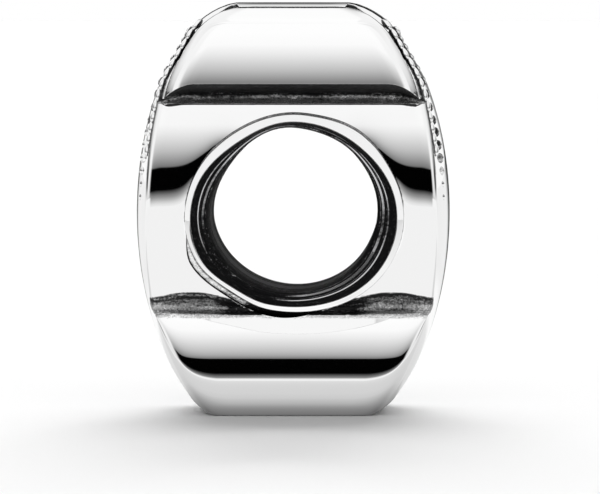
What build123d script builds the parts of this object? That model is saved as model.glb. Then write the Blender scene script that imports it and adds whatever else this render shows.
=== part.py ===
from build123d import *
import math
import os

# A large-hole bead charm, cast in one piece of silver. The bore runs along Y, the broad faces look
# along X, and the charm stands on its flat foot. The origin is the middle of the foot, +Z is up.
# All lengths are in millimetres.

# Outline of the casting, seen along the bore: an ellipse cut flat at the top and the foot
charm_height = 11.0
charm_width = 8.44
bore_height = 5.45
outline_middle_height = bore_height - 0.09
foot_corner_sink = 0.15
outline_overshoot = 1.03
outline_reach = max(charm_height - outline_middle_height, outline_middle_height + foot_corner_sink)
outline_half_height = outline_reach + outline_overshoot
shoulder_radius = 0.8
foot_corner_radius = 0.5

# Middle lobe: the widest ridge, which the bore runs through and whose crest sets the charm's length
middle_lobe_half_length = 4.28
middle_lobe_radius = 4.7
middle_lobe_crest_height = bore_height + 0.345

# Upper lobe: a rounded ridge that leans back and rolls over into the top
upper_lobe_half_length = middle_lobe_half_length - 0.18
upper_lobe_radius = 4.2
upper_lobe_crest_height = bore_height + 2.64
upper_lobe_roll_start = charm_height - 0.65
upper_lobe_roll_radius = 0.6
upper_lobe_roll_end_deg = 62.0

# Lower lobe: the ridge over the foot
lower_lobe_half_length = middle_lobe_half_length - 0.26
lower_lobe_radius = 3.3
lower_lobe_crest_height = 0.95
foot_roll_radius = 0.35

# Grooves between the lobes: lowest and highest edge of each, and the half length left at their floor
upper_groove_low = bore_height + 2.875
upper_groove_high = bore_height + 3.385
lower_groove_low = bore_height - 2.725
lower_groove_high = bore_height - 2.19
groove_half_length = middle_lobe_half_length - 1.03

# Bore for a bracelet chain, with a flared oval mouth and a thin raised collar at each end
bore_radius = 2.25
mouth_flare_across = 0.47
mouth_flare_up = 0.23
mouth_depth = 0.9
collar_lip_width = 0.2
collar_proud = 0.05
collar_edge_radius = 0.08
mouth_half_width = bore_radius + mouth_flare_across
mouth_half_height = bore_radius + mouth_flare_up
collar_half_width = mouth_half_width + collar_lip_width
collar_half_height = mouth_half_height + collar_lip_width
collar_half_length = middle_lobe_half_length + collar_proud

# Shallow rings turned into the bore behind each mouth
bore_ring_depth = 0.12
bore_ring_width = 0.4
bore_ring_pitch = 0.8
bore_rings_per_end = 3

# Crown of the broad faces and of the top, from the middle of the bore's length to just past its ends
side_crown = 0.4
top_crown = 0.22
crown_half_length = collar_half_length + 0.27

# Arch of fine grains raised on the upper half of each broad face
grain_radius = 0.15
grain_pitch = 0.35
arch_half_length = groove_half_length - grain_radius - 0.25
arch_foot_height = bore_height + 0.35
arch_top_height = charm_height - 0.8
arch_corner_radius = 1.2

# Overruns that let a cutting shape pass clear of the casting
overrun = 1.0
lid_overrun = 0.2


def outline_section(y):
    """Outline of the casting at a distance y along the bore, as a face that stands across it."""
    share = (y / crown_half_length) ** 2
    half_width = charm_width / 2 - side_crown * share
    top = charm_height - top_crown * share - outline_middle_height
    foot = -outline_middle_height - foot_corner_sink
    plane = Plane(origin=(0, y, outline_middle_height), x_dir=(1, 0, 0), z_dir=(0, -1, 0))
    low_angle = math.degrees(math.asin(foot / outline_half_height))
    high_angle = math.degrees(math.asin(top / outline_half_height))
    sweep = high_angle - low_angle
    right = EllipticalCenterArc((0, 0), half_width, outline_half_height, low_angle, arc_size=sweep)
    left = EllipticalCenterArc((0, 0), half_width, outline_half_height, 180 - high_angle, arc_size=sweep)
    lid = Line(right @ 1, left @ 0)
    sole = Line(left @ 1, right @ 0)
    face = make_face([right, lid, left, sole])
    corners = face.vertices().sort_by(Axis.Y)
    face = fillet(corners[-2:], shoulder_radius)
    corners = face.vertices().sort_by(Axis.Y)
    face = fillet(corners[:2], foot_corner_radius)
    return plane * face


def lobe_half_length(height, crest_height, crest_half_length, radius):
    """Half length of a round lobe at a height: an arc of the lobe's radius about its crest."""
    return crest_half_length - radius + math.sqrt(radius**2 - (height - crest_height) ** 2)


def lobe_arc(low, high, crest_height, crest_half_length, radius):
    """Arc of a lobe between two heights, drawn in the plane of length and height."""
    stations = [low, (low + high) / 2, high]
    points = [(lobe_half_length(z, crest_height, crest_half_length, radius), z) for z in stations]
    return ThreePointArc(*points)


def lobed_side():
    """Side view of the casting as a face: three lobes and two grooves at each end of the bore."""
    lower = lobe_arc(0, lower_groove_low, lower_lobe_crest_height, lower_lobe_half_length, lower_lobe_radius)
    middle = lobe_arc(
        lower_groove_high,
        upper_groove_low,
        middle_lobe_crest_height,
        middle_lobe_half_length,
        middle_lobe_radius,
    )
    upper = lobe_arc(
        upper_groove_high,
        upper_lobe_roll_start,
        upper_lobe_crest_height,
        upper_lobe_half_length,
        upper_lobe_radius,
    )
    roll_start = upper @ 1
    start_angle = math.asin((upper_lobe_roll_start - upper_lobe_crest_height) / upper_lobe_radius)
    end_angle = math.radians(upper_lobe_roll_end_deg)
    centre = Vector(
        roll_start.X - upper_lobe_roll_radius * math.cos(start_angle),
        roll_start.Y - upper_lobe_roll_radius * math.sin(start_angle),
    )
    roll_points = []
    for angle in [start_angle, (start_angle + end_angle) / 2, end_angle]:
        spoke = Vector(math.cos(angle), math.sin(angle)) * upper_lobe_roll_radius
        roll_points.append(centre + spoke)
    roll = ThreePointArc(*roll_points)
    lid_height = charm_height + lid_overrun
    lid_rise = lid_height - roll_points[-1].Y
    lid_half_length = roll_points[-1].X - lid_rise * math.tan(end_angle)
    lower_floor = (groove_half_length, lower_groove_low)
    lower_floor_top = (groove_half_length, lower_groove_high)
    upper_floor = (groove_half_length, upper_groove_low)
    upper_floor_top = (groove_half_length, upper_groove_high)
    rim = [
        Line((0, 0), lower @ 0),
        lower,
        Polyline(lower @ 1, lower_floor, lower_floor_top, middle @ 0),
        middle,
        Polyline(middle @ 1, upper_floor, upper_floor_top, upper @ 0),
        upper,
        roll,
        Polyline(roll @ 1, (lid_half_length, lid_height), (0, lid_height), (0, 0)),
    ]
    half = make_face(rim)
    foot_corner = half.vertices().sort_by_distance(lower @ 0)[0]
    half = fillet(foot_corner, foot_roll_radius)
    return half + mirror(half, Plane.YZ)


def casting():
    """Crowned barrel of the outline, trimmed to the lobes by the side view."""
    sections = [outline_section(y) for y in (-crown_half_length, 0, crown_half_length)]
    barrel = loft(sections)
    side = Plane.YZ * lobed_side()
    return barrel & extrude(side, amount=charm_width / 2 + overrun, both=True)


def across_bore(y):
    """Plane that stands across the bore at a distance y along it, centred on the bore."""
    return Plane(origin=(0, y, bore_height), x_dir=(1, 0, 0), z_dir=(0, -1, 0))


def collar():
    """Oval collar round the bore, as long as the charm."""
    face = across_bore(collar_half_length) * Ellipse(collar_half_width, collar_half_height)
    return extrude(face, amount=2 * collar_half_length)


def round_collar_rims(body):
    """Round the outer rim of the collar at both ends of the bore."""
    rims = []
    for edge in body.edges().filter_by(GeomType.ELLIPSE):
        if math.isclose(abs(edge.center().Y), collar_half_length, abs_tol=1e-6):
            rims.append(edge)
    return fillet(rims, collar_edge_radius)


def bore_cutter():
    """Bore, its flared mouths and its shallow rings, as one shape to cut away."""
    start = across_bore(collar_half_length + overrun)
    bore = extrude(start * Circle(bore_radius), amount=2 * (collar_half_length + overrun))
    for end in (-1, 1):
        rim = across_bore(end * collar_half_length) * Ellipse(mouth_half_width, mouth_half_height)
        throat = across_bore(end * (collar_half_length - mouth_depth)) * Circle(bore_radius)
        bore += loft([rim, throat], ruled=True)
        for ring in range(bore_rings_per_end):
            depth = mouth_depth + bore_ring_width + ring * bore_ring_pitch
            y = end * (collar_half_length - depth)
            disc = across_bore(y + bore_ring_width / 2) * Circle(bore_radius + bore_ring_depth)
            bore += extrude(disc, amount=bore_ring_width)
    return bore


def broad_face_point(y, z):
    """Point on the +X broad face at a place along the bore and a height."""
    half_width = charm_width / 2 - side_crown * (y / crown_half_length) ** 2
    rise = (z - outline_middle_height) / outline_half_height
    return Vector(half_width * math.sqrt(1 - rise**2), y, z)


def grain_places():
    """Places of the grains on the +X broad face, evenly spaced along the arch over the surface."""
    corners = [
        (-arch_half_length, arch_foot_height),
        (-arch_half_length, arch_top_height),
        (arch_half_length, arch_top_height),
        (arch_half_length, arch_foot_height),
    ]
    arch = FilletPolyline(*corners, radius=arch_corner_radius)
    steps = 600
    trail = []
    for step in range(steps + 1):
        spot = arch @ (step / steps)
        trail.append(broad_face_point(spot.X, spot.Y))
    travelled = [0.0]
    for before, after in zip(trail, trail[1:]):
        travelled.append(travelled[-1] + (after - before).length)
    gaps = round(travelled[-1] / grain_pitch)
    places = []
    for index in range(gaps + 1):
        wanted = travelled[-1] * index / gaps
        nearest = min(range(steps + 1), key=lambda step: abs(travelled[step] - wanted))
        places.append(trail[nearest])
    return places


def grains():
    """Grains of both broad faces, half sunk in the surface."""
    beads = []
    for place in grain_places():
        for side in (-1, 1):
            beads.append(Pos(side * place.X, place.Y, place.Z) * Rot(Y=90 * side) * Sphere(grain_radius))
    return beads


def charm_body():
    """The whole casting, with its collar, its bore and its grains."""
    body = casting() + collar()
    body = round_collar_rims(body)
    body -= bore_cutter()
    return body + grains()


os.makedirs("parts", exist_ok=True)
export_step(charm_body(), "parts/charm_body.step")
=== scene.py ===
import math
from collections import namedtuple

import bmesh
import bpy
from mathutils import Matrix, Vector, noise


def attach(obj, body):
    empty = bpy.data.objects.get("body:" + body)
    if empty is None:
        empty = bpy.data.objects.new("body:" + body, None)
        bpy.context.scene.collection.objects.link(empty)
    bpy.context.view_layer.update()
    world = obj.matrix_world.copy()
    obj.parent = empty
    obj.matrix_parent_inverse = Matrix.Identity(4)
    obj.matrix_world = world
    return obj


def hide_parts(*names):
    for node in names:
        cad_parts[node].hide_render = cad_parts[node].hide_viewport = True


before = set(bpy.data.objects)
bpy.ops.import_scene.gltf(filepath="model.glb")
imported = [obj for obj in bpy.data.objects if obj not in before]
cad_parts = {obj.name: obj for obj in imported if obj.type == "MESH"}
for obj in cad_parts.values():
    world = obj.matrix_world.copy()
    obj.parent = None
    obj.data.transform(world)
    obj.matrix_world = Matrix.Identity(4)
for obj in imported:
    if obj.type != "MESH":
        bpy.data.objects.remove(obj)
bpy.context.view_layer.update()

bl_info = {
    "name": "Silver Bead Charm",
    "version": (1, 0, 0),
    "blender": (4, 5, 0),
    "location": "View3D > Sidebar > Charm",
    "description": "Builds a cast silver bead charm and the pale studio that it stands in",
    "category": "Add Mesh",
}

MM = 0.001


class CastingSettings(bpy.types.PropertyGroup):
    """Sizes of the lobed casting."""

    half_width: bpy.props.FloatProperty(
        name="Half Width", description="Half the width at the bore's height", default=0.00422, unit="LENGTH",
    )
    bore_height: bpy.props.FloatProperty(
        name="Bore Height", description="Height of the bore's axis above the foot", default=0.00545,
        unit="LENGTH",
    )
    side_crown: bpy.props.FloatProperty(
        name="Side Crown", description="How far the broad faces fall back at the ends", default=0.0004,
        unit="LENGTH",
    )
    gutter: bpy.props.FloatProperty(
        name="Gutter", description="Widest gap between the casting and the collar", default=0.0002,
        unit="LENGTH",
    )
    columns: bpy.props.IntProperty(
        name="Columns", description="Faces across the front, closer together at its ends", default=180,
        min=20,
    )


class CollarSettings(bpy.types.PropertyGroup):
    """Sizes of the collar and the bore."""

    half_length: bpy.props.FloatProperty(
        name="Half Length", description="From the middle of the bore to the collar's rim", default=0.00433,
        unit="LENGTH",
    )
    bore_radius: bpy.props.FloatProperty(
        name="Bore Radius", description="Radius of the clear bore", default=0.00225, unit="LENGTH",
    )
    lip_width: bpy.props.FloatProperty(
        name="Lip Width", description="Width of the polished lip, seen along the bore", default=0.0002,
        unit="LENGTH",
    )
    lip_angle: bpy.props.FloatProperty(
        name="Lip Angle", description="Slope of the lip in towards the bore", default=math.radians(22),
        subtype="ANGLE",
    )
    segments: bpy.props.IntProperty(
        name="Segments", description="Faces round the collar", default=192, min=32,
    )


class MilgrainSettings(bpy.types.PropertyGroup):
    """Sizes of the grains and the ropes on each broad face."""

    grain_radius: bpy.props.FloatProperty(
        name="Grain Radius", description="Radius of a grain", default=0.00015, unit="LENGTH",
    )
    pitch: bpy.props.FloatProperty(
        name="Pitch", description="Distance from grain to grain", default=0.00035, unit="LENGTH",
    )
    rope_pitch: bpy.props.FloatProperty(
        name="Rope Pitch", description="Distance from strand to strand of a rope", default=0.0003,
        unit="LENGTH",
    )


class FinishSettings(bpy.types.PropertyGroup):
    """Colours of the silver."""

    silver: bpy.props.FloatVectorProperty(
        name="Silver", description="Colour of the polished silver", default=(0.9, 0.9, 0.9), size=3,
        subtype="COLOR",
    )
    # The patina colour is also the colour of the painted shade and painted dark reflections that the patina
    # attribute carries in a few places.
    patina: bpy.props.FloatVectorProperty(
        name="Patina", description="Colour of the oxidised silver", default=(0.009, 0.009, 0.0095), size=3,
        subtype="COLOR",
    )
    worn_patina: bpy.props.FloatVectorProperty(
        name="Worn Patina", description="Colour of the specks rubbed bright in the patina",
        default=(0.6, 0.6, 0.61), size=3, subtype="COLOR",
    )


class StageSettings(bpy.types.PropertyGroup):
    """Place and view of the camera."""

    distance: bpy.props.FloatProperty(
        name="Distance", description="From the charm's middle to the camera", default=0.25, unit="LENGTH",
    )
    elevation: bpy.props.FloatProperty(
        name="Elevation", description="Camera's angle above the horizon", default=math.radians(1.6),
        subtype="ANGLE",
    )
    azimuth: bpy.props.FloatProperty(
        name="Azimuth", description="Camera's angle round the charm", default=math.radians(0.8),
        subtype="ANGLE",
    )
    frame_width: bpy.props.FloatProperty(
        name="Frame Width", description="Width of the view at the charm", default=0.016216, unit="LENGTH",
    )


# Shape of the casting, in millimetres. Heights are above the foot, and depths are from the middle of the
# bore's length towards either end.

TOP = 11.0
FRONT_TOP = 10.89
CREASE_DEPTH = 2.56

# Outline seen along the bore: an ellipse with rounded shoulders and foot corners
OUTLINE_MIDDLE_BELOW_BORE = 0.09
OUTLINE_HALF_HEIGHT = 6.67
SHOULDER_START = 10.25
SHOULDER_FALL = 0.67
FOOT_CORNER_HEIGHT = 0.38
FOOT_CORNER_FALL = 0.26
CROWN_LENGTH = 4.6

# Each lobe's round front: the height and depth of its crest, and its radius
MIDDLE_LOBE = {"crest": 5.795, "reach": 4.28, "radius": 4.7}
UPPER_LOBE = {"crest": 8.09, "reach": 4.10, "radius": 4.2}
LOWER_LOBE = {"crest": 0.95, "reach": 4.02, "radius": 3.3}

FOOT_ROLL_RADIUS = 0.35
FOOT_ROLL_DEPTH = 3.61
LOWER_SLOPE_START = 1.53
LOWER_TOP = 2.66
MIDDLE_START = 3.26
MIDDLE_STRAIGHT_START = 7.75
MIDDLE_STRAIGHT_SLOPE = 0.456
UPPER_START = 8.84
UPPER_ROLL_START = 10.35
UPPER_ROLL_RADIUS = 0.6

# Each row of a groove: height, depth, share of the way from its lower to its upper edge, patina. In the upper
# groove the top rows, under the upper lobe's overhang, are dark with oxide and painted shade.
LOWER_GROOVE = [
    (2.680, 3.470, 0.00, 0.34),
    (2.702, 3.452, 0.04, 0.38),
    (2.735, 3.385, 0.09, 0.40),
    (2.775, 3.310, 0.16, 0.44),
    (2.815, 3.265, 0.24, 0.42),
    (2.875, 3.245, 0.35, 0.38),
    (2.940, 3.250, 0.47, 0.40),
    (3.015, 3.280, 0.60, 0.44),
    (3.080, 3.335, 0.70, 0.46),
    (3.140, 3.405, 0.80, 0.48),
    (3.190, 3.470, 0.88, 0.50),
    (3.230, 3.510, 0.95, 0.54),
    (3.262, 3.540, 1.00, 0.50),
]
UPPER_GROOVE = [
    (8.300, 3.602, 0.00, 0.0),
    (8.318, 3.585, 0.04, 0.40),
    (8.340, 3.500, 0.09, 0.38),
    (8.372, 3.400, 0.15, 0.38),
    (8.415, 3.330, 0.22, 0.40),
    (8.470, 3.295, 0.32, 0.42),
    (8.530, 3.300, 0.45, 0.48),
    (8.590, 3.360, 0.56, 0.60),
    # From here up the upper lobe overhangs the groove: oxide and painted shade.
    (8.630, 3.480, 0.65, 0.85),
    (8.660, 3.660, 0.72, 1.0),
    (8.700, 3.830, 0.79, 1.0),
    (8.745, 3.935, 0.86, 1.0),
    (8.790, 3.995, 0.93, 1.0),
    (8.832, 4.028, 1.00, 1.0),
]

# Rounding at the ends of the middle and upper lobes: its width, its strength and its tightness at the edge
MIDDLE_END = (0.35, 0.05, 0.012)
UPPER_END = (0.65, 0.19, 0.055)

# The lower lobe's section rises towards its ends instead
LOWER_END_WIDTH = 1.0
LOWER_END_STRENGTH = 0.045
LOWER_END_TIGHTNESS = 0.032

# Columns of faces crowd towards the near edges, where the front turns into the broad faces
EDGE_CROWDING = 1.6

# How far a groove's upper edge dips: the upper one's at its ends, and the lower one's at its ends and
# under the bore
UPPER_END_DIP = 0.40
LOWER_GROOVE_END_DIP = 0.14
LOWER_GROOVE_BORE_DIP = 0.2

# Dip of the middle lobe round the collar
MOAT_DEPTH = 0.048
MOAT_REACH = 0.19

# Touches of the file on the collar: the change in millimetres, and its middle and reach in degrees
LIP_TOUCHES = [(0.04, 10, 35), (-0.095, 128, 40), (-0.08, 232, 24)]
WIDTH_TOUCHES = [(-0.03, 222, 45), (0.09, 48, 32), (0.07, 130, 40)]
THROAT_TOUCHES = [(0.04, 5, 35), (-0.165, 140, 55), (-0.05, 75, 35), (-0.095, 258, 75)]

# Turned steps of the mouth: shares of the wall where each begins and ends, and how dark its edge is
MOUTH_STEPS = [(0.62, 0.56, 0.12), (0.50, 0.485, 0.5), (0.36, 0.25, 0.2), (0.17, 0.14, 0.35)]
MOUTH_STEPS_DEPTH = 0.72
MOUTH_DEPTH = 0.80

# Grooves turned in the bore: their middles along it, and the points of their section, as minus the depth
# cut and the way from the middle
BORE_GROOVE_MIDDLES = [3.03, 2.23, 1.43]
BORE_GROOVE = [(0.0, 0.20), (-0.12, 0.16), (-0.12, -0.16), (0.0, -0.20)]

# Depth of the near edge at a few heights, and the stretch of it that the rope follows
NEAR_EDGE = [(5.8, 4.15), (7.4, 3.85), (8.3, 3.48), (8.84, 3.72), (9.6, 3.51), (10.35, 3.13), (10.89, 2.25)]
ROPE_FOOT = 7.1
ROPE_TOP = 10.5
ROPE_INSET = 0.30

# Half the thickness, length and width of a strand, and its lean in degrees
STRAND_HALF_SIZES = (0.09, 0.30, 0.15)
STRAND_LEAN = 28

# Arch of the grains on a broad face
ARCH_HALF_LENGTH = 2.85
ARCH_FOOT = 5.8
ARCH_TOP = 10.2
ARCH_CORNER = 1.2

Row = namedtuple("Row", "height depth share patina zone")


def blend(low, high, share):
    """Value between two others."""
    return low + (high - low) * share


def ease(start, end, value):
    """Smooth rise from 0 at start to 1 at end."""
    share = min(max((value - start) / (end - start), 0.0), 1.0)
    return share * share * (3 - 2 * share)


def spaced(low, high, count):
    """Evenly spaced values from low to high."""
    return [blend(low, high, index / count) for index in range(count + 1)]


def quarter_round(value):
    """Fall of a quarter circle, from 0 at 0 to 1 at 1."""
    share = min(max(value, 0.0), 1.0)
    return 1 - math.sqrt(1 - share**2)


def degrees_round(angle):
    """An angle in degrees, from 0 to 360."""
    return math.degrees(angle) % 360


def touched(angle, touches):
    """Sum of the touches at an angle: each is a smooth bump, as wide as its reach to either side."""
    total = 0.0
    for change, middle, reach in touches:
        off = abs((math.degrees(angle) - middle + 180) % 360 - 180)
        if off < reach:
            total += change * math.cos(off / reach * math.pi / 2) ** 2
    return total


def lobe_depth(lobe, height):
    """Depth of a lobe's round front at a height."""
    return lobe["reach"] - lobe["radius"] + math.sqrt(lobe["radius"] ** 2 - (height - lobe["crest"]) ** 2)


def outline_half_width(settings, height):
    """Half width of the casting's middle at a height."""
    middle = settings.bore_height / MM - OUTLINE_MIDDLE_BELOW_BORE
    width = settings.half_width / MM * math.sqrt(1 - ((height - middle) / OUTLINE_HALF_HEIGHT) ** 2)
    width -= 0.11 * ease(8.7, 10.0, height)
    width -= SHOULDER_FALL * quarter_round((height - SHOULDER_START) / (TOP - SHOULDER_START))
    width -= FOOT_CORNER_FALL * quarter_round((FOOT_CORNER_HEIGHT - height) / FOOT_CORNER_HEIGHT)
    return width - 0.03 * ease(1.4, 0.4, height)


def side_crown(settings, depth, height):
    """How far a broad face has fallen back at a depth: less over the upper lobe."""
    return settings.side_crown / MM * (depth / CROWN_LENGTH) ** 2 * (1 - 0.3 * ease(8.0, 9.0, height))


def surface_half_width(settings, depth, height):
    """Half width of the casting at a depth and a height."""
    return outline_half_width(settings, height) - side_crown(settings, depth, height)


def top_drop(depth):
    """How far the top has fallen at a depth: flat, then a slope to the front crease."""
    slope_start = 2.27
    return 0.02 * ease(1.5, slope_start, depth) + 0.33 * max(depth - slope_start, 0.0)


def lower_front(height):
    """Depth of the lower lobe's front, a little steeper over its dark band."""
    over = max(height - LOWER_SLOPE_START, 0.0)
    return lobe_depth(LOWER_LOBE, height) - 0.055 * over * over / (over + 0.05)


def middle_front(height):
    """Depth of the middle lobe's front, straight near the upper groove."""
    if height > MIDDLE_STRAIGHT_START:
        start = lobe_depth(MIDDLE_LOBE, MIDDLE_STRAIGHT_START)
        return start - MIDDLE_STRAIGHT_SLOPE * (height - MIDDLE_STRAIGHT_START)
    return lobe_depth(MIDDLE_LOBE, height)


def casting_rows():
    """Rows of the front, from the foot's edge up to the top's."""
    rows = []
    for angle in spaced(90, 11.3, 8)[:-1]:
        turn = math.radians(angle)
        height = FOOT_ROLL_RADIUS - FOOT_ROLL_RADIUS * math.sin(turn)
        rows.append(Row(height, FOOT_ROLL_DEPTH + FOOT_ROLL_RADIUS * math.cos(turn), None, 0.0, "lower"))
    for height in spaced(0.281, LOWER_TOP, 50):
        dark = 0.32 * ease(2.44, LOWER_TOP, height)
        rows.append(Row(height, lower_front(height), None, dark, "lower"))
    for entry in LOWER_GROOVE:
        rows.append(Row(*entry, "lower_groove"))
    for height in spaced(3.30, 8.27, 110):
        rows.append(Row(height, middle_front(height), None, 0.0, "middle"))
    for entry in UPPER_GROOVE:
        rows.append(Row(*entry, "upper_groove"))
    for height in spaced(UPPER_START, UPPER_ROLL_START, 26):
        rows.append(Row(height, lobe_depth(UPPER_LOBE, height), None, 0.0, "upper"))
    start = math.asin((UPPER_ROLL_START - UPPER_LOBE["crest"]) / UPPER_LOBE["radius"])
    centre_depth = rows[-1].depth - UPPER_ROLL_RADIUS * math.cos(start)
    centre_height = UPPER_ROLL_START - UPPER_ROLL_RADIUS * math.sin(start)
    for angle in spaced(math.degrees(start), 61.6, 6)[1:]:
        turn = math.radians(angle)
        height = centre_height + UPPER_ROLL_RADIUS * math.sin(turn)
        rows.append(Row(height, centre_depth + UPPER_ROLL_RADIUS * math.cos(turn), None, 0.0, "upper"))
    roll_end = rows[-1]
    # The last rows, up to the front's crease at the top, darken at the crease: a painted dark reflection.
    for share, dark in ((0.3, 0.0), (0.6, 0.0), (0.85, 0.0), (0.9, 0.6), (1.0, 0.9)):
        height = blend(roll_end.height, FRONT_TOP, share)
        rows.append(Row(height, blend(roll_end.depth, CREASE_DEPTH, share), None, dark, "upper"))
    return rows


def end_fall(end, inset):
    """How far the front falls back at an inset from the near edge: slowly at first, then round the corner."""
    width, strength, tight = end
    if inset >= width:
        return 0.0
    return strength * (math.log((width + tight) / (inset + tight)) - (width - inset) / (width + tight))


def lower_end_rise(inset):
    """How far the lower lobe's section rises at an inset from the near edge."""
    if inset >= LOWER_END_WIDTH:
        return 0.0
    full = LOWER_END_WIDTH + LOWER_END_TIGHTNESS
    slope = (LOWER_END_WIDTH - inset) / full**2
    return LOWER_END_STRENGTH * (1 / (inset + LOWER_END_TIGHTNESS) - 1 / full - slope)


def lower_change(height, inset):
    """How much deeper the lower lobe's front is at a height where its section has risen."""
    return lobe_depth(LOWER_LOBE, height - lower_end_rise(inset)) - lobe_depth(LOWER_LOBE, height)


def row_fall(row, inset):
    """Fall of a row at an inset from the near edge, shared between two lobes where the row is in a groove."""
    if row.zone == "upper":
        return end_fall(UPPER_END, inset)
    if row.zone == "middle":
        return end_fall(MIDDLE_END, inset)
    if row.zone == "upper_groove":
        return blend(end_fall(MIDDLE_END, inset), end_fall(UPPER_END, inset), row.share)
    lower = lower_change(LOWER_TOP, inset)
    if row.zone == "lower_groove":
        return blend(lower, end_fall(MIDDLE_END, inset), row.share)
    return lower - lower_change(row.height, inset)


def front_place(settings, row, across):
    """Place and patina of a point of the front, with a painted dark reflection along the top crease and the
    shoulders' near edges: across runs from -1 to 1 between the two near edges.
    """
    height, depth, share, patina, zone = row
    lift = ease(UPPER_START, FRONT_TOP, height)
    outline = outline_half_width(settings, height + lift * (TOP - FRONT_TOP))
    near_depth = depth - row_fall(row, 0.0)
    half = outline - side_crown(settings, near_depth, height)
    inset = half * (1 - abs(across)) ** EDGE_CROWDING
    offset = half - inset
    fall = row_fall(row, inset)
    # The crease's painted dark reflection stops at the ends of the flat top, and a painted dark reflection
    # runs down the near edges of the shoulders.
    if height > 10.7:
        flat = outline_half_width(settings, TOP)
        patina *= ease(flat + 0.04, flat - 0.04, offset)
    patina = max(patina, 0.8 * ease(0.035, 0.012, inset) * ease(9.6, 10.2, height))
    end = ease(0.95, 0.0, inset)
    upper_dip = UPPER_END_DIP * max(1 - inset / 0.85, 0.0) ** 2
    lower_dip = LOWER_GROOVE_END_DIP * end + LOWER_GROOVE_BORE_DIP * ease(2.5, 1.4, offset)
    if zone == "upper_groove":
        straight = blend(UPPER_GROOVE[0][1], UPPER_GROOVE[-1][1], share)
        depth = blend(depth, straight, 0.85 * ease(0.6, 0.0, inset))
        height -= upper_dip * share
    elif zone == "upper":
        height -= upper_dip * math.exp(-(height - UPPER_START) / 0.45)
    elif zone == "lower_groove":
        straight = blend(LOWER_GROOVE[0][1], LOWER_GROOVE[-1][1], share)
        depth = blend(depth, straight, 0.8 * end)
        patina += 0.3 * ease(2.2, 1.2, offset)
        height += 0.05 * end * (1 - share) - lower_dip * share
    elif zone == "middle":
        height -= lower_dip * math.exp(-(height - MIDDLE_START) / 0.25)
    return math.copysign(offset, across), depth - fall, height, patina


def groove_roughness(settings, row, x, height):
    """Uneven floor of a groove, calm at its edges and towards the near edges."""
    if row.zone not in ("lower_groove", "upper_groove") or not 0.1 < row.share < 0.95:
        return 0.0
    spot = Vector((x * 9, height * 9, 1.7))
    calm = ease(0.1, 0.5, outline_half_width(settings, height) - abs(x))
    return calm * (0.035 * noise.noise(spot) + 0.02 * noise.noise(spot * 3.1))


def collar_inner_radius(angle):
    """Radius of the lip's inner edge: an oval, a little square at its lower corners, filed by hand."""
    oval = 2.583 + 0.133 * math.cos(2 * angle) - 0.01 * math.sin(2 * angle)
    oval += 0.05 * math.cos(angle) - 0.123 * math.sin(angle) - 0.048 * math.sin(3 * angle)
    return oval + touched(angle, LIP_TOUCHES)


def collar_outer_radius(angle):
    """Radius of the collar's outer edge."""
    width = 0.172 + 0.035 * math.sin(angle + 0.44) + touched(angle, WIDTH_TOUCHES)
    return collar_inner_radius(angle) + width


def gutter_gap(settings, angle):
    """Gap between casting and collar: narrow over the top, wide round the lower left, none at the right."""
    turned = degrees_round(angle)
    over_top = 0.05 * ease(20, 45, turned) * ease(165, 140, turned)
    lower = settings.gutter / MM * ease(190, 208, turned) * ease(300, 262, turned)
    return 0.006 + over_top + lower


def hole_radius(settings, angle):
    """Radius of the casting's hole for the collar."""
    return collar_outer_radius(angle) + gutter_gap(settings, angle)


def moat(x, rise):
    """Dip of the middle lobe at a place across and above the bore's axis, none over the collar's top."""
    angle = math.atan2(rise, x)
    away = math.hypot(x, rise) - collar_outer_radius(angle)
    return MOAT_DEPTH * math.exp(-max(away, 0.0) / MOAT_REACH) * ease(0.88, 0.6, math.sin(angle))


def clear_selection():
    """Nothing is selected, in object mode."""
    if bpy.context.object and bpy.context.object.mode != "OBJECT":
        bpy.ops.object.mode_set(mode="OBJECT")
    bpy.ops.object.select_all(action="DESELECT")


def apply_place():
    """Applies the place, turn and size of what is selected to its mesh."""
    bpy.ops.object.transform_apply(location=True, rotation=True, scale=True)


def select_open_edges():
    """Selects the open edges of the mesh in edit mode."""
    bpy.ops.mesh.select_all(action="DESELECT")
    bpy.ops.mesh.select_mode(type="EDGE")
    bpy.ops.mesh.select_non_manifold(
        extend=False, use_wire=False, use_boundary=True, use_multi_face=False, use_non_contiguous=False,
        use_verts=False,
    )


def apply_modifier(piece, kind, name, **values):
    """Adds a modifier with the given values and applies it."""
    modifier = piece.modifiers.new(name, kind)
    for key, value in values.items():
        setattr(modifier, key, value)
    bpy.context.view_layer.objects.active = piece
    bpy.ops.object.modifier_apply(modifier=modifier.name)


def add_other_end(piece):
    """Mirrors a piece to the other end of the bore."""
    apply_modifier(
        piece, "MIRROR", "Other End", use_axis=(False, True, False), use_clip=True, merge_threshold=1e-5,
    )


def extrude_loop(place):
    """Extrudes the selected open edges once and puts each new vertex where place says."""
    bpy.ops.mesh.extrude_edges_move()
    mesh = bmesh.from_edit_mesh(bpy.context.object.data)
    for vertex in mesh.verts:
        if vertex.select:
            vertex.co = place(vertex)
    bmesh.update_edit_mesh(bpy.context.object.data)


def close_doubles(piece, distance=2e-6):
    """Merges doubles and turns the faces outwards."""
    bpy.context.view_layer.objects.active = piece
    bpy.ops.object.mode_set(mode="EDIT")
    bpy.ops.mesh.select_all(action="SELECT")
    bpy.ops.mesh.remove_doubles(threshold=distance)
    bpy.ops.mesh.normals_make_consistent(inside=False)
    bpy.ops.object.mode_set(mode="OBJECT")


def smooth_by_angle(piece, degrees):
    """Shades a piece smooth, with its edges sharper than an angle left crisp."""
    clear_selection()
    piece.select_set(True)
    bpy.context.view_layer.objects.active = piece
    bpy.ops.object.shade_smooth_by_angle(angle=math.radians(degrees))


def name_piece(piece, name):
    """Names a piece and its mesh."""
    piece.name = name
    piece.data.name = name


def ship(piece, *materials):
    """Gives a finished piece its materials and its place in the frame."""
    piece.data.materials.clear()
    for material in materials:
        piece.data.materials.append(material)
    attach(piece, "root")
    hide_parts("charm_body")


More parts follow.
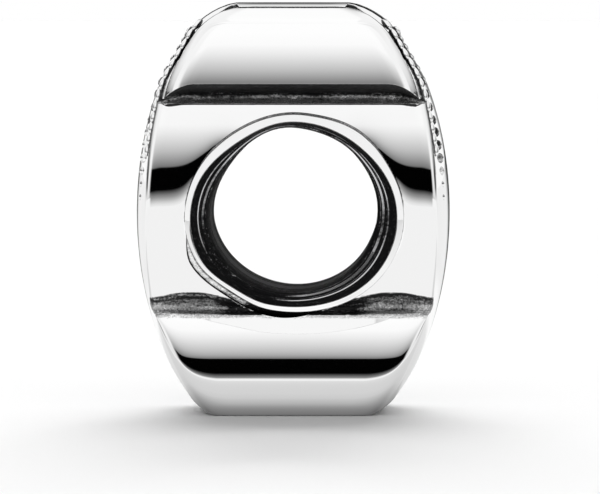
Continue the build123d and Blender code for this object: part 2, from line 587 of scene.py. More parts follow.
def side_ring(settings, layers, depth_from, sink=0.0, dark=0.0, is_crease=False):
    """Place function for one ring of the sides, top and foot: depth_from gives its depth from the front's."""

    def place(vertex):
        level = vertex[layers["outline_height"]]
        depth = depth_from(vertex[layers["near_depth"]])
        is_top = level > TOP - 0.001
        is_foot = vertex.co.z / MM < 0.001
        lift = ease(UPPER_START, TOP, level)
        sunk = sink * ease(5.0, 7.5, level)
        x = vertex.co.x / MM
        if is_top:
            before = -vertex.co.y / MM
            x *= surface_half_width(settings, depth, TOP) / surface_half_width(settings, before, TOP)
        elif not is_foot:
            wide = outline_half_width(settings, min(level, TOP)) - side_crown(settings, depth, level)
            x = math.copysign(wide - sunk, x)
        height = 0.0 if is_foot else level - lift * (top_drop(depth) + sunk)
        # Over the top the crease ring stays fully dark: a painted dark reflection of the crease.
        if is_crease:
            fade = 1.0 if is_top else 1 - 0.6 * ease(10.4, 10.8, level)
        else:
            fade = ease(10.5, 10.1, level)
        vertex[layers["patina"]] = dark * ease(6.6, 7.6, level) * fade
        return Vector((x, -depth, height)) * MM

    return place


def cut_collar_hole(piece, settings, segments):
    """Cuts the uneven oval hole for the collar through the casting."""
    clear_selection()
    bpy.ops.mesh.primitive_cylinder_add(
        vertices=segments, radius=1, depth=0.012, location=(0, 0, settings.bore_height),
        rotation=(math.pi / 2, 0, 0),
    )
    cutter = bpy.context.object
    apply_place()
    for vertex in cutter.data.vertices:
        angle = math.atan2(vertex.co.z - settings.bore_height, vertex.co.x)
        radius = hole_radius(settings, angle) * MM
        vertex.co.x = radius * math.cos(angle)
        vertex.co.z = settings.bore_height + radius * math.sin(angle)
    apply_modifier(piece, "BOOLEAN", "Collar Hole", operation="DIFFERENCE", solver="EXACT", object=cutter)
    bpy.data.objects.remove(cutter)
    close_doubles(piece, 1e-7)


def darken_hole_wall(mesh, settings):
    """Moves the patina to the face corners, so that the hole's wall is dark up to a crisp edge."""
    soft = [item.value for item in mesh.attributes["patina"].data]
    mesh.attributes.remove(mesh.attributes["patina"])
    crisp = mesh.attributes.new("patina", "FLOAT", "CORNER").data
    for face in mesh.polygons:
        across, up = face.center.x / MM, (face.center.z - settings.bore_height) / MM
        angle = math.atan2(up, across)
        inward = face.normal.x * math.cos(angle) + face.normal.z * math.sin(angle)
        is_wall = math.hypot(across, up) < hole_radius(settings, angle) + 0.03 and inward < -0.7
        for corner in face.loop_indices:
            crisp[corner].value = 1.0 if is_wall else soft[mesh.loops[corner].vertex_index]


class CHARM_OT_casting(bpy.types.Operator):
    """Builds the lobed casting, with its grooves and the oval hole for the collar"""

    bl_idname = "charm.casting"
    bl_label = "Build Casting"

    def execute(self, context):
        settings = context.scene.charm_casting
        rows = casting_rows()
        clear_selection()
        bpy.ops.mesh.primitive_grid_add(x_subdivisions=settings.columns, y_subdivisions=len(rows) - 1, size=2)
        piece = context.object
        name_piece(piece, "charm_casting")
        bpy.ops.object.mode_set(mode="EDIT")
        mesh = bmesh.from_edit_mesh(piece.data)
        names = ("patina", "near_depth", "outline_height")
        layers = {name: mesh.verts.layers.float.new(name) for name in names}
        for vertex in mesh.verts:
            row = rows[round((vertex.co.y + 1) / 2 * (len(rows) - 1))]
            x, depth, height, dark = front_place(settings, row, vertex.co.x)
            if row.zone == "middle":
                depth -= moat(x, height - settings.bore_height / MM)
            depth += groove_roughness(settings, row, x, height)
            lift = ease(UPPER_START, FRONT_TOP, height)
            vertex[layers["patina"]] = dark
            vertex[layers["near_depth"]] = depth
            vertex[layers["outline_height"]] = height + lift * (TOP - FRONT_TOP)
            vertex.co = Vector((x, -depth, height)) * MM
        bmesh.update_edit_mesh(piece.data)

        select_open_edges()
        # The first ring is the crease, sunk a little and dark; over the top its dark is a painted dark
        # reflection of the crease.
        for back, sink, dark in ((0.025, 0.015, 1.0), (0.05, 0.0, 0.8), (0.10, 0.0, 0.9)):
            extrude_loop(side_ring(
                settings, layers, lambda near: max(near - back, 0.0), sink, dark, is_crease=sink > 0,
            ))
        for share in spaced(0, 1, 15)[1:]:
            kept = 1 - blend(0.04, 1.0, share)
            dark = 1.0 if share < 0.1 else 0.0
            extrude_loop(side_ring(settings, layers, lambda near: near * kept, dark=dark))
        bpy.ops.object.mode_set(mode="OBJECT")

        add_other_end(piece)
        close_doubles(piece)
        cut_collar_hole(piece, settings, context.scene.charm_collar.segments)
        darken_hole_wall(piece.data, settings)
        smooth_by_angle(piece, 38)
        ship(piece, silver_material())
        return {"FINISHED"}


def collar_rings(collar):
    """Rings of the collar, from the gutter over the lip and down the mouth to the middle of the bore.

    Each is where it lies, its depth and its patina. Where runs from the bore, 0, over the lip's inner
    edge, 1, and its outer edge, 2, to the far side of the gutter, 3. In the gutter, the depth is
    measured from the casting's front.
    """
    reach = collar.half_length / MM
    inner_edge = reach - (collar.lip_width / MM - 0.04) * math.tan(collar.lip_angle)
    rings = [
        (2.97, -0.60, 1.0),
        (2.97, -0.05, 0.85),
        (2.75, -0.035, 0.34),
        (2.55, -0.03, 0.28),
        (2.35, -0.035, 0.30),
        (2.10, -0.04, 0.5),
        (2.0, -0.02, 0.8),
        (2.0, 0.03, 0.5),
        (2.0, 0.08, 0.0),
        (2.0, reach - 0.035, 0.0),
        (1.985, reach - 0.012, 0.0),
        (1.93, reach, 0.0),
        (1.86, reach - 0.006, 0.0),
        (1.50, blend(reach - 0.01, inner_edge, 0.45), 0.0),
        (1.14, blend(reach - 0.01, inner_edge, 0.86), 0.0),
        (1.05, inner_edge - 0.008, 0.0),
        (1.00, inner_edge - 0.04, 0.9),
        (0.99, inner_edge - 0.08, 1.0),
    ]
    start = inner_edge - 0.08
    for share, next_share, dark in MOUTH_STEPS:
        wall = start - MOUTH_STEPS_DEPTH * (1 - share)
        rings.append((share + 0.01, wall - 0.02, 1.0))
        rings.append((share, wall - 0.03, dark))
        rings.append((next_share, wall - 0.04, dark))
        rings.append((next_share - 0.01, wall - 0.06, 1.0))
    rings.append((0.0, start - MOUTH_DEPTH, 1.0))
    for middle in BORE_GROOVE_MIDDLES:
        for where, along in BORE_GROOVE:
            rings.append((where, middle + along, 1.0))
    rings.append((0.0, 0.0, 1.0))
    return rings


def ring_radius(casting, collar, angle, where):
    """Radius of a ring of the collar at an angle."""
    inner, outer = collar_inner_radius(angle), collar_outer_radius(angle)
    if where > 2:
        return outer + (gutter_gap(casting, angle) - 0.001) * (where - 2)
    if where >= 1:
        return blend(inner, outer, where - 1)
    throat = collar.bore_radius / MM + touched(angle, THROAT_TOUCHES)
    if where >= 0:
        return blend(throat, inner, where)
    return throat - where


def worn_and_lit_shine(angle, sway):
    """How much of a turned step's shine is there at an angle: worn unevenly, with painted shade at the lower
    left and a painted highlight at the upper right.
    """
    turned = degrees_round(angle)
    # Painted shade: less shine from the lower left to the bottom.
    share = 1 - 0.55 * ease(285, 250, turned) * ease(170, 215, turned)
    uneven = 0.85 + 0.9 * noise.noise(sway * 0.9 + Vector((3, 1, 0)))
    # Painted highlight: more shine at the upper right.
    return share * (uneven + touched(angle, [(0.5, 30, 55)]))


def collar_ring(casting, collar, layers, where, depth, dark):
    """Place function for one ring of the collar."""
    bore_height = casting.bore_height / MM
    in_gutter = depth < 0.2 and where >= 2.0
    in_mouth = 0 < where < 0.99

    def place(vertex):
        angle = vertex[layers["turn"]]
        radius = ring_radius(casting, collar, angle, where)
        length, patina = depth, dark
        if in_gutter:
            x, rise = radius * math.cos(angle), radius * math.sin(angle)
            front = lobe_depth(MIDDLE_LOBE, bore_height + rise) - moat(x, rise)
            length = min(front + depth, collar.half_length / MM - 0.06 + 0.15 * depth)
        if where > 2:
            patina = max(dark, 0.9 * ease(236, 252, degrees_round(angle)))
        if in_mouth:
            sway = Vector((math.cos(angle) * 1.3, math.sin(angle) * 1.3, length * 2.5))
            radius += 0.02 * noise.noise(sway)
            # Turned steps: uneven wear, with painted shade at the lower left and a painted highlight at the
            # upper right.
            if dark <= 0.9:
                patina = min(max(1 - (1 - dark) * worn_and_lit_shine(angle, sway), 0), 1)
        vertex[layers["patina"]] = patina
        return Vector((radius * math.cos(angle), -length, bore_height + radius * math.sin(angle))) * MM

    return place


class CHARM_OT_collar(bpy.types.Operator):
    """Builds the collar with its polished lip, the stepped mouth and the grooved bore"""

    bl_idname = "charm.collar"
    bl_label = "Build Collar"

    def execute(self, context):
        casting = context.scene.charm_casting
        collar = context.scene.charm_collar
        clear_selection()
        bpy.ops.mesh.primitive_circle_add(
            vertices=collar.segments, radius=1, fill_type="NOTHING", rotation=(math.pi / 2, 0, 0),
        )
        piece = context.object
        name_piece(piece, "charm_collar")
        apply_place()
        bpy.ops.object.mode_set(mode="EDIT")
        mesh = bmesh.from_edit_mesh(piece.data)
        layers = {name: mesh.verts.layers.float.new(name) for name in ("patina", "turn")}
        places = [collar_ring(casting, collar, layers, *ring) for ring in collar_rings(collar)]
        for vertex in mesh.verts:
            vertex[layers["turn"]] = math.atan2(vertex.co.z, vertex.co.x)
            vertex.co = places[0](vertex)
        bmesh.update_edit_mesh(piece.data)
        bpy.ops.mesh.select_all(action="SELECT")
        for place in places[1:]:
            extrude_loop(place)
        bpy.ops.object.mode_set(mode="OBJECT")
        add_other_end(piece)
        bpy.ops.object.mode_set(mode="EDIT")
        select_open_edges()
        bpy.ops.mesh.bridge_edge_loops()
        bpy.ops.object.mode_set(mode="OBJECT")
        close_doubles(piece)
        smooth_by_angle(piece, 50)
        ship(piece, silver_material(), oxidised_material())
        for face in piece.data.polygons:
            across, up = face.center.x / MM, face.center.z / MM - casting.bore_height / MM
            if math.hypot(across, up) < collar_inner_radius(math.atan2(up, across)) - 0.012:
                face.material_index = 1
        return {"FINISHED"}


def arch_corner(middle, start, end):
    """Places round a corner of the arch between two angles, without the first."""
    turns = [math.radians(angle) for angle in spaced(start, end, 90)[1:]]
    low = ARCH_TOP - ARCH_CORNER
    return [(middle + ARCH_CORNER * math.cos(turn), low + ARCH_CORNER * math.sin(turn)) for turn in turns]


def arch_trail():
    """Places along the arch of grains, as depth and height: two legs, two round corners and a lintel."""
    half, inner, low = ARCH_HALF_LENGTH, ARCH_HALF_LENGTH - ARCH_CORNER, ARCH_TOP - ARCH_CORNER
    trail = [(-half, height) for height in spaced(ARCH_FOOT, low, 120)]
    trail += arch_corner(-inner, 180, 90)
    trail += [(along, ARCH_TOP) for along in spaced(-inner, inner, 120)[1:]]
    trail += arch_corner(inner, 90, 0)
    trail += [(half, height) for height in spaced(low, ARCH_FOOT, 120)[1:]]
    return trail


def grain_middles(casting, pitch):
    """Middles of the grains along the arch, evenly spaced over a broad face."""
    points = [Vector((surface_half_width(casting, y, z), y, z)) for y, z in arch_trail()]
    travelled = [0.0]
    for before, after in zip(points, points[1:]):
        travelled.append(travelled[-1] + (after - before).length)
    gaps = round(travelled[-1] / pitch)
    middles = []
    for index in range(gaps + 1):
        wanted = travelled[-1] * index / gaps
        nearest = min(range(len(points)), key=lambda step: abs(travelled[step] - wanted))
        middles.append(points[nearest])
    return middles


def near_edge_depth(height):
    """Depth of the front's near edge at a height, over the middle and upper lobes."""
    for (low, low_depth), (high, high_depth) in zip(NEAR_EDGE, NEAR_EDGE[1:]):
        if height <= high:
            return blend(low_depth, high_depth, ease(low, high, height))
    return NEAR_EDGE[-1][1]


def grain_model(settings):
    """One grain, a small round bead with its poles to the sides."""
    clear_selection()
    bpy.ops.mesh.primitive_uv_sphere_add(segments=14, ring_count=10, radius=settings.grain_radius)
    grain = bpy.context.object
    grain.rotation_euler = (0, math.pi / 2, 0)
    apply_place()
    for vertex in grain.data.vertices:
        vertex.co.x *= 0.96
    return grain


def strand_model():
    """One strand of a rope, a long oval grain."""
    clear_selection()
    bpy.ops.mesh.primitive_uv_sphere_add(segments=12, ring_count=8, radius=1)
    strand = bpy.context.object
    strand.scale = [half * MM for half in STRAND_HALF_SIZES]
    apply_place()
    return strand


def grain_spots(casting, settings, side):
    """Location and turn of each grain on a broad face: they sink towards the arch's feet."""
    spots = []
    for x, y, z in grain_middles(casting, settings.pitch / MM):
        sunk = 0.04 + 0.07 * ease(7.0, 6.0, z)
        spots.append((Vector((side * (x - sunk), y, z)) * MM, (0, 0, 0)))
    return spots


def strand_spots(casting, settings, side):
    """Location and turn of each strand along the near edges of a broad face, up to the shoulders."""
    spots = []
    for end in (-1, 1):
        height = ROPE_FOOT
        while height < ROPE_TOP:
            y = near_edge_depth(height) - ROPE_INSET
            x = surface_half_width(casting, y, height)
            lean = math.atan2(x - surface_half_width(casting, y, height + 0.01), 0.01)
            turn = (math.radians(-STRAND_LEAN) * end, -lean * side, 0)
            spots.append((Vector((side * x, end * y, height)) * MM, turn))
            height += settings.rope_pitch / MM * math.cos(lean)
    return spots


def add_relief(context, name, model, spots, rise, patina_at):
    """One piece of copies of a model, as dark as patina_at says by share of the rise and by height."""
    casting = context.scene.charm_casting
    clear_selection()
    copies = []
    for location, turn in spots:
        copy = model.copy()
        copy.data = model.data.copy()
        context.collection.objects.link(copy)
        copy.location = location
        copy.rotation_euler = turn
        copy.select_set(True)
        copies.append(copy)
    context.view_layer.objects.active = copies[0]
    apply_place()
    bpy.ops.object.join()
    piece = context.object
    name_piece(piece, name)
    layer = piece.data.attributes.new("patina", "FLOAT", "POINT")
    for index, vertex in enumerate(piece.data.vertices):
        height = vertex.co.z / MM
        wide = surface_half_width(casting, vertex.co.y / MM, height)
        layer.data[index].value = patina_at((abs(vertex.co.x) / MM - wide) / rise, height)
    bpy.ops.object.shade_smooth()
    ship(piece, silver_material())


class CHARM_OT_milgrain(bpy.types.Operator):
    """Builds the arch of fine grains and the two ropes of slanted strands on each broad face"""

    bl_idname = "charm.milgrain"
    bl_label = "Build Milgrain"

    def execute(self, context):
        casting = context.scene.charm_casting
        settings = context.scene.charm_milgrain
        grain = grain_model(settings)
        strand = strand_model()
        # Each side: its name, its direction, and the heights between which its grains grow dark
        for name, side, low, high in (("right", 1, 5.2, 8.8), ("left", -1, 6.9, 8.6)):
            add_relief(
                context, "charm_milgrain_" + name, grain, grain_spots(casting, settings, side),
                settings.grain_radius / MM,
                lambda proud, height: ease(0.75, 0.4, proud) * ease(low, high, height),
            )
            add_relief(
                context, "charm_rope_" + name, strand, strand_spots(casting, settings, side),
                STRAND_HALF_SIZES[0], lambda proud, height: 0.9 * ease(0.32, 0.0, proud),
            )
        bpy.data.objects.remove(grain)
        bpy.data.objects.remove(strand)
        return {"FINISHED"}


# Shader nodes


def add_node(tree, kind, values=None, **links):
    """Adds a node, sets its values and links its named inputs."""
    node = tree.nodes.new(kind)
    for key, value in (values or {}).items():
        if key in node.inputs:
            node.inputs[key].default_value = value
        else:
            setattr(node, key, value)
    for key, source in links.items():
        tree.links.new(source, node.inputs[key])
    return node


def maths(tree, operation, first, second=None, clamp=False):
    """A Math node on one or two values or sockets."""
    node = add_node(tree, "ShaderNodeMath", {"operation": operation, "use_clamp": clamp})
    for socket, item in zip(node.inputs, (first, second)):
        if isinstance(item, (int, float)):
            socket.default_value = item
        elif item is not None:
            tree.links.new(item, socket)
    return node.outputs[0]


def eased(tree, source, low, high):
    """A smooth rise from 0 at low to 1 at high."""
    values = {"interpolation_type": "SMOOTHSTEP", "From Min": low, "From Max": high}
    return add_node(tree, "ShaderNodeMapRange", values, Value=source).outputs[0]


def mixed(tree, share, first, second):
    """Mix of two colours or sockets."""
    node = add_node(tree, "ShaderNodeMix", {"data_type": "RGBA"})
    tree.links.new(share, node.inputs[0])
    for index, item in ((6, first), (7, second)):
        if isinstance(item, tuple):
            node.inputs[index].default_value = item
        else:
            tree.links.new(item, node.inputs[index])
    return node.outputs[2]


def grey(value):
    """A grey as a colour."""
    return (value, value, value, 1.0)


def grey_ramp(tree, stops, source):
    """A colour ramp of greys given as position and brightness."""
    ramp = tree.nodes.new("ShaderNodeValToRGB")
    elements = ramp.color_ramp.elements
    while len(elements) < len(stops):
        elements.new(0.5)
    for element, (position, value) in zip(elements, stops):
        element.position = position
        element.color = grey(value)
    tree.links.new(source, ramp.inputs[0])
    return ramp.outputs[0]


def empty_material(name):
    """A new material, its node tree and its output's surface socket."""
    material = bpy.data.materials.new(name)
    material.use_nodes = True
    tree = material.node_tree
    tree.nodes.clear()
    return material, tree, tree.nodes.new("ShaderNodeOutputMaterial").inputs["Surface"]


# Materials of the charm


def worn_patina_group():
    """Shader group for oxidised silver rubbed bright in specks and streaks, ragged where it thins out; where
    its patina input holds painted shade, that is covered the same way.
    """
    name = "worn_patina"
    if name in bpy.data.node_groups:
        return bpy.data.node_groups[name]
    group = bpy.data.node_groups.new(name, "ShaderNodeTree")
    sockets = (
        ("Place", "INPUT", "NodeSocketVector"),
        ("Patina", "INPUT", "NodeSocketFloat"),
        ("Dark", "INPUT", "NodeSocketColor"),
        ("Worn", "INPUT", "NodeSocketColor"),
        ("Colour", "OUTPUT", "NodeSocketColor"),
        ("Cover", "OUTPUT", "NodeSocketFloat"),
        ("Height", "OUTPUT", "NodeSocketFloat"),
    )
    for socket, direction, kind in sockets:
        group.interface.new_socket(name=socket, in_out=direction, socket_type=kind)
    given = group.nodes.new("NodeGroupInput").outputs
    result = group.nodes.new("NodeGroupOutput").inputs
    grit_values = {"Scale": 16000.0, "Detail": 3.0, "Roughness": 0.7}
    grit = add_node(group, "ShaderNodeTexNoise", grit_values, Vector=given["Place"])
    along = add_node(group, "ShaderNodeMapping", {"Scale": (0.12, 1.0, 1.0)}, Vector=given["Place"])
    streak = add_node(group, "ShaderNodeTexNoise", {"Scale": 9000.0, "Detail": 2.0}, Vector=along.outputs[0])
    mottle = maths(group, "ADD", grit.outputs["Fac"], maths(group, "MULTIPLY", streak.outputs["Fac"], 0.8))
    speck = maths(group, "MULTIPLY", maths(group, "SUBTRACT", mottle, 0.98), 4.0, clamp=True)
    thin = maths(group, "SUBTRACT", 1.0, given["Patina"])
    rubbed = maths(group, "ADD", 0.10, maths(group, "MULTIPLY", thin, 1.4))
    bright = maths(group, "MULTIPLY", speck, rubbed, clamp=True)
    group.links.new(mixed(group, bright, given["Dark"], given["Worn"]), result["Colour"])
    ragged = maths(group, "MULTIPLY", maths(group, "MULTIPLY", given["Patina"], thin), 1.7)
    ragged = maths(group, "MULTIPLY", ragged, maths(group, "SUBTRACT", 0.9, mottle))
    cover = eased(group, maths(group, "ADD", given["Patina"], ragged), 0.2, 0.55)
    group.links.new(cover, result["Cover"])
    group.links.new(maths(group, "MULTIPLY", mottle, cover), result["Height"])
    return group


def patina_and_shade_nodes(tree, place):
    """The worn patina group in a material, fed by the attribute of patina and painted shade."""
    settings = bpy.context.scene.charm_finish
    patina = add_node(tree, "ShaderNodeAttribute", {"attribute_name": "patina"}).outputs["Fac"]
    worn = add_node(tree, "ShaderNodeGroup", {"node_tree": worn_patina_group()})
    tree.links.new(place, worn.inputs["Place"])
    tree.links.new(patina, worn.inputs["Patina"])
    worn.inputs["Dark"].default_value = (*settings.patina, 1)
    worn.inputs["Worn"].default_value = (*settings.worn_patina, 1)
    return worn.outputs


def shaded_material(name):
    """A new material, its node tree, its shader's inputs and the place on the object."""
    material = bpy.data.materials.new(name)
    material.use_nodes = True
    tree = material.node_tree
    place = tree.nodes.new("ShaderNodeTexCoord").outputs["Object"]
    return material, tree, tree.nodes["Principled BSDF"].inputs, place


def cover_with_patina_and_shade(tree, shader, place, bare, polish, metal_loss, matting, relief):
    """Wires a shader from its bare colour and polish to the worn patina, and the painted shade carried with
    it, that covers it.
    """
    worn = patina_and_shade_nodes(tree, place)
    tree.links.new(mixed(tree, worn["Cover"], (*bare, 1), worn["Colour"]), shader["Base Color"])
    metal = maths(tree, "SUBTRACT", 1.0, maths(tree, "MULTIPLY", worn["Cover"], metal_loss))
    tree.links.new(metal, shader["Metallic"])
    rough = maths(tree, "ADD", polish, maths(tree, "MULTIPLY", worn["Cover"], matting))
    tree.links.new(rough, shader["Roughness"])
    bump = add_node(tree, "ShaderNodeBump", {"Strength": relief, "Distance": 0.00004}, Height=worn["Height"])
    tree.links.new(bump.outputs[0], shader["Normal"])


def silver_material():
    """Mirror-polished silver with a faint haze, darkened where its attribute says: oxidised, and in a few
    places painted shade and painted dark reflection.
    """
    if "polished_silver" in bpy.data.materials:
        return bpy.data.materials["polished_silver"]
    material, tree, shader, place = shaded_material("polished_silver")
    cloud = add_node(tree, "ShaderNodeTexNoise", {"Scale": 900.0, "Detail": 2.0}, Vector=place)
    polish = maths(tree, "ADD", 0.02, maths(tree, "MULTIPLY", cloud.outputs["Fac"], 0.03))
    cover_with_patina_and_shade(
        tree, shader, place, bpy.context.scene.charm_finish.silver, polish, metal_loss=0.35, matting=0.42,
        relief=0.7,
    )
    return material


def oxidised_material():
    """Matt black oxide of the bore, with the silver showing where a turned edge is rubbed bright, less at the
    lower left as painted shade and more at the upper right as painted highlight.
    """
    material, tree, shader, place = shaded_material("oxidised_silver")
    shader["Specular IOR Level"].default_value = 0.05
    cover_with_patina_and_shade(
        tree, shader, place, bpy.context.scene.charm_finish.worn_patina, 0.25, metal_loss=1.0, matting=0.35,
        relief=0.6,
    )
    return material


# The studio. Its brightnesses by the angle above the horizon, in degrees, are what the silver mirrors.

AHEAD = [
    (0.0, 0.28), (2.0, 0.12), (4.0, 0.0005), (18.6, 0.0005), (19.6, 0.20), (23.3, 0.33), (30.0, 0.57),
    (37.0, 0.77), (43.0, 0.93), (50.0, 1.07), (60.0, 1.10),
]
OBLIQUE = [
    (0.0, 0.85), (2.5, 0.70), (4.0, 0.0005), (18.6, 0.0005), (19.6, 0.60), (25.0, 0.74), (50.0, 1.0),
    (90.0, 1.1),
]
BESIDE = [(0.0, 0.75), (3.0, 0.85), (25.0, 1.0), (50.0, 1.0), (90.0, 1.1)]
FLANK = [
    (0.0, 0.9), (3.0, 0.55), (6.0, 0.10), (13.0, 0.06), (19.0, 0.42), (30.0, 0.78), (50.0, 1.0), (90.0, 0.9),
]

# Painted brightness of the floor's glow in the silver: a painted shadow near the foot, white further out and
# darker again far ahead, by its distance from the foot as a share of itself plus 20 mm
FLOOR = [
    (0.0, 0.15), (0.02, 0.27), (0.038, 0.38), (0.057, 0.52), (0.083, 0.66), (0.12, 0.71), (0.26, 0.74),
    (0.46, 0.80), (0.54, 1.0), (0.667, 1.0), (0.75, 0.86), (0.828, 0.64), (0.883, 0.48), (0.94, 0.36),
    (0.99, 0.28),
]
FOOT_HALF_WIDTH = 0.0023
FOOT_HALF_LENGTH = 0.0036

# Each light: name, lean from straight down, angle of its disc, both in degrees, and strength
LIGHTS = [
    ("back_softbox_low", -77, 25, 5.2),
    ("back_softbox_high", -50, 50, 1.6),
    ("front_softbox", 69, 60, 0.9),
]
MATT_LIGHT = 0.38

FLOOR_RADIUS = 3.0
CARD_WIDTH = 0.06
CARD_LENGTH = 0.032
CARD_PLACE = (0, -0.01995, 0.002)
CAMERA_TARGET = (0.000176, 0, 0.00439)
SENSOR_WIDTH = 36.0


def seen_in_mirror(tree, path):
    """1 for what is seen in the silver, 0 for light that has also bounced off something matt."""
    straight = maths(tree, "LESS_THAN", path["Diffuse Depth"], 0.5)
    return maths(tree, "MULTIPLY", path["Is Glossy Ray"], straight)


def card_material():
    """Low white reflector: seen from above, in mirrors only."""
    material, tree, surface = empty_material("studio_card")
    clear = tree.nodes.new("ShaderNodeBsdfTransparent")
    path = tree.nodes.new("ShaderNodeLightPath").outputs
    twice = maths(tree, "GREATER_THAN", path["Glossy Depth"], 1.5)
    strength = maths(tree, "ADD", 0.98, maths(tree, "MULTIPLY", twice, 0.17))
    glow = add_node(tree, "ShaderNodeEmission", Strength=strength)
    under = tree.nodes.new("ShaderNodeNewGeometry").outputs["Backfacing"]
    side = tree.nodes.new("ShaderNodeMixShader")
    for socket, source in zip(side.inputs, (under, glow.outputs[0], clear.outputs[0])):
        tree.links.new(source, socket)
    tree.links.new(side.outputs[0], surface)
    return material


def beyond(tree, coordinate, edge):
    """How far a coordinate lies outside an edge on either side, 0 inside."""
    return maths(tree, "MAXIMUM", maths(tree, "SUBTRACT", maths(tree, "ABSOLUTE", coordinate), edge), 0.0)


def floor_glow(tree):
    """Painted glow that the silver mirrors in place of the floor: white, with painted shade under the charm,
    far ahead and straight behind.
    """
    place = tree.nodes.new("ShaderNodeTexCoord").outputs["Object"]
    parts = add_node(tree, "ShaderNodeSeparateXYZ", Vector=place).outputs
    beside = beyond(tree, parts["X"], FOOT_HALF_WIDTH)
    before = beyond(tree, parts["Y"], FOOT_HALF_LENGTH)
    squares = maths(tree, "ADD", maths(tree, "POWER", beside, 2.0), maths(tree, "POWER", before, 2.0))
    away = maths(tree, "SQRT", squares)
    at_least = maths(tree, "MAXIMUM", away, 0.001)
    share = maths(tree, "DIVIDE", away, maths(tree, "ADD", away, 0.02))
    to_side = eased(tree, maths(tree, "DIVIDE", beside, at_least), 0.3, 0.5)
    far = eased(tree, away, 0.015, 0.04)
    # Painted shadow round the foot, which fades to white to the sides and further out.
    field = mixed(tree, maths(tree, "MULTIPLY", to_side, far), grey_ramp(tree, FLOOR, share), grey(1.0))
    behind = eased(tree, parts["Y"], 0.03, 0.08)
    sideways = maths(tree, "DIVIDE", maths(tree, "ABSOLUTE", parts["X"]), at_least)
    # Painted dark reflection straight behind the charm.
    painted_dark_aisle = maths(tree, "MULTIPLY", behind, eased(tree, sideways, 0.18, 0.10))
    field = mixed(tree, behind, field, grey(0.9))
    return add_node(tree, "ShaderNodeEmission", Color=mixed(tree, painted_dark_aisle, field, grey(0.06)))


def floor_material():
    """Pale matt studio floor, which the silver mirrors as a glowing sheet with painted shade."""
    material, tree, surface = empty_material("studio_floor")
    values = {"Base Color": grey(0.86), "Roughness": 0.9, "Specular IOR Level": 0.0}
    matt = add_node(tree, "ShaderNodeBsdfPrincipled", values)
    path = tree.nodes.new("ShaderNodeLightPath").outputs
    choice = tree.nodes.new("ShaderNodeMixShader")
    sources = (seen_in_mirror(tree, path), matt.outputs[0], floor_glow(tree).outputs[0])
    for socket, source in zip(choice.inputs, sources):
        tree.links.new(source, socket)
    tree.links.new(choice.outputs[0], surface)
    return material


def by_rise(tree, stops, rise):
    """A ramp of greys by the angle above the horizon, from degrees."""
    return grey_ramp(tree, [(angle / 90, value) for angle, value in stops], rise)


def studio_backdrop(tree):
    """What the silver mirrors of the room: white overhead and behind, with a dark band above the horizon."""
    direction = tree.nodes.new("ShaderNodeTexCoord").outputs["Generated"]
    parts = add_node(tree, "ShaderNodeSeparateXYZ", Vector=direction).outputs
    rise = maths(tree, "MULTIPLY", maths(tree, "ARCSINE", parts["Z"]), 2 / math.pi)
    level = maths(tree, "SQRT", maths(tree, "SUBTRACT", 1.0, maths(tree, "POWER", parts["Z"], 2.0)))
    level = maths(tree, "MAXIMUM", level, 0.01)
    along = maths(tree, "DIVIDE", maths(tree, "ABSOLUTE", parts["Y"]), level)
    across = maths(tree, "DIVIDE", maths(tree, "ABSOLUTE", parts["X"]), level)
    turned = eased(tree, along, math.cos(math.radians(8)), math.cos(math.radians(45)))
    room = mixed(tree, turned, by_rise(tree, AHEAD, rise), by_rise(tree, OBLIQUE, rise))
    to_side = eased(tree, across, math.sin(math.radians(24)), math.sin(math.radians(38)))
    room = mixed(tree, to_side, room, by_rise(tree, BESIDE, rise))
    behind = eased(tree, parts["Y"], 0.1, 0.3)
    beside_slot = eased(tree, across, 0.08, 0.14)
    backdrop = mixed(tree, maths(tree, "MULTIPLY", behind, beside_slot), room, grey(1.0))
    flank_behind = maths(tree, "MULTIPLY", behind, eased(tree, across, 0.45, 0.65))
    flank = maths(tree, "MAXIMUM", flank_behind, eased(tree, across, 0.84, 0.94))
    return mixed(tree, flank, backdrop, by_rise(tree, FLANK, rise))


def studio_world():
    """White to the camera, soft light to what is matt, and the studio's backdrop to the silver."""
    world = bpy.data.worlds.new("studio")
    bpy.context.scene.world = world
    world.use_nodes = True
    tree = world.node_tree
    tree.nodes.clear()
    path = tree.nodes.new("ShaderNodeLightPath").outputs
    matt = mixed(tree, path["Is Glossy Ray"], grey(MATT_LIGHT), grey(0.0))
    lit = mixed(tree, seen_in_mirror(tree, path), matt, studio_backdrop(tree))
    seen = mixed(tree, path["Is Camera Ray"], lit, grey(1.0))
    background = add_node(tree, "ShaderNodeBackground", Color=seen)
    add_node(tree, "ShaderNodeOutputWorld", Surface=background.outputs[0])


def add_floor():
    """Round floor, a hair under the foot."""
    clear_selection()
    bpy.ops.mesh.primitive_circle_add(
        vertices=96, radius=FLOOR_RADIUS, fill_type="NGON", location=(0, 0, -0.00001),
    )
    floor = bpy.context.object
    floor.name = "studio_floor"
    apply_place()
    floor.data.materials.append(floor_material())


def add_card():
    """Low white reflector in front of the charm, which only the silver sees."""
    clear_selection()
    bpy.ops.mesh.primitive_plane_add(size=1, location=CARD_PLACE)
    card = bpy.context.object
    card.name = "studio_card"
    card.scale = (CARD_WIDTH, CARD_LENGTH, 1)
    apply_place()
    card.data.materials.append(card_material())
    card.visible_camera = False
    card.visible_diffuse = False
    card.visible_shadow = False


def add_lights():
    """Large soft lights behind and in front, which the silver doesn't mirror."""
    for name, lean, spread, strength in LIGHTS:
        place = (0, math.copysign(0.3, -lean), 0.1)
        bpy.ops.object.light_add(type="SUN", location=place, rotation=(math.radians(lean), 0, 0))
        light = bpy.context.object
        light.name = name
        light.data.energy = strength
        light.data.angle = math.radians(spread)
        light.visible_glossy = False


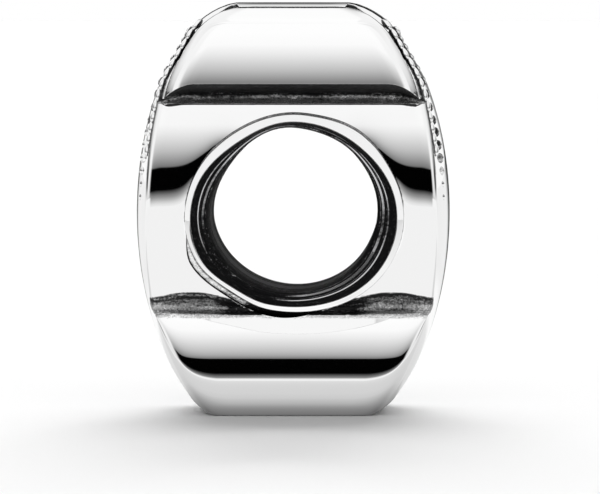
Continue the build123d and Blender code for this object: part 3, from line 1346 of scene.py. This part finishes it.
def add_camera(settings):
    """Camera that looks along the bore, a little from above and from the right."""
    turn, rise = settings.azimuth, settings.elevation
    back = Vector((math.sin(turn) * math.cos(rise), -math.cos(turn) * math.cos(rise), math.sin(rise)))
    bpy.ops.object.camera_add(location=Vector(CAMERA_TARGET) + back * settings.distance)
    camera = bpy.context.object
    camera.name = "studio_camera"
    camera.rotation_euler = (-back).to_track_quat("-Z", "Y").to_euler()
    camera.data.sensor_width = SENSOR_WIDTH
    camera.data.lens = SENSOR_WIDTH * settings.distance / settings.frame_width
    camera.data.clip_start = 0.01
    camera.data.clip_end = 20.0
    bpy.context.scene.camera = camera


class CHARM_OT_stage(bpy.types.Operator):
    """Builds the pale floor, the studio light and the camera"""

    bl_idname = "charm.stage"
    bl_label = "Build Stage"

    def execute(self, context):
        add_floor()
        studio_world()
        add_card()
        add_lights()
        add_camera(context.scene.charm_stage)
        context.scene.view_settings.view_transform = "Standard"
        return {"FINISHED"}


class CHARM_PT_panel(bpy.types.Panel):
    """Panel in the sidebar that lists the charm's pieces and sizes"""

    bl_idname = "CHARM_PT_panel"
    bl_label = "Silver Bead Charm"
    bl_space_type = "VIEW_3D"
    bl_region_type = "UI"
    bl_category = "Charm"

    def draw(self, context):
        layout = self.layout
        for operator in OPERATORS:
            layout.operator(operator.bl_idname)
        for name in SETTINGS:
            box = layout.box()
            group = getattr(context.scene, name)
            for key in group.__annotations__:
                box.prop(group, key)


SETTINGS = {
    "charm_casting": CastingSettings,
    "charm_collar": CollarSettings,
    "charm_milgrain": MilgrainSettings,
    "charm_finish": FinishSettings,
    "charm_stage": StageSettings,
}
OPERATORS = [CHARM_OT_casting, CHARM_OT_collar, CHARM_OT_milgrain, CHARM_OT_stage]


def register():
    for name, group in SETTINGS.items():
        bpy.utils.register_class(group)
        setattr(bpy.types.Scene, name, bpy.props.PointerProperty(type=group))
    for operator in OPERATORS:
        bpy.utils.register_class(operator)
    bpy.utils.register_class(CHARM_PT_panel)


def unregister():
    bpy.utils.unregister_class(CHARM_PT_panel)
    for operator in reversed(OPERATORS):
        bpy.utils.unregister_class(operator)
    for name, group in reversed(SETTINGS.items()):
        delattr(bpy.types.Scene, name)
        bpy.utils.unregister_class(group)


def main():
    register()
    bpy.ops.charm.casting()
    bpy.ops.charm.collar()
    bpy.ops.charm.milgrain()
    bpy.ops.charm.stage()


if __name__ == "__main__":
    main()
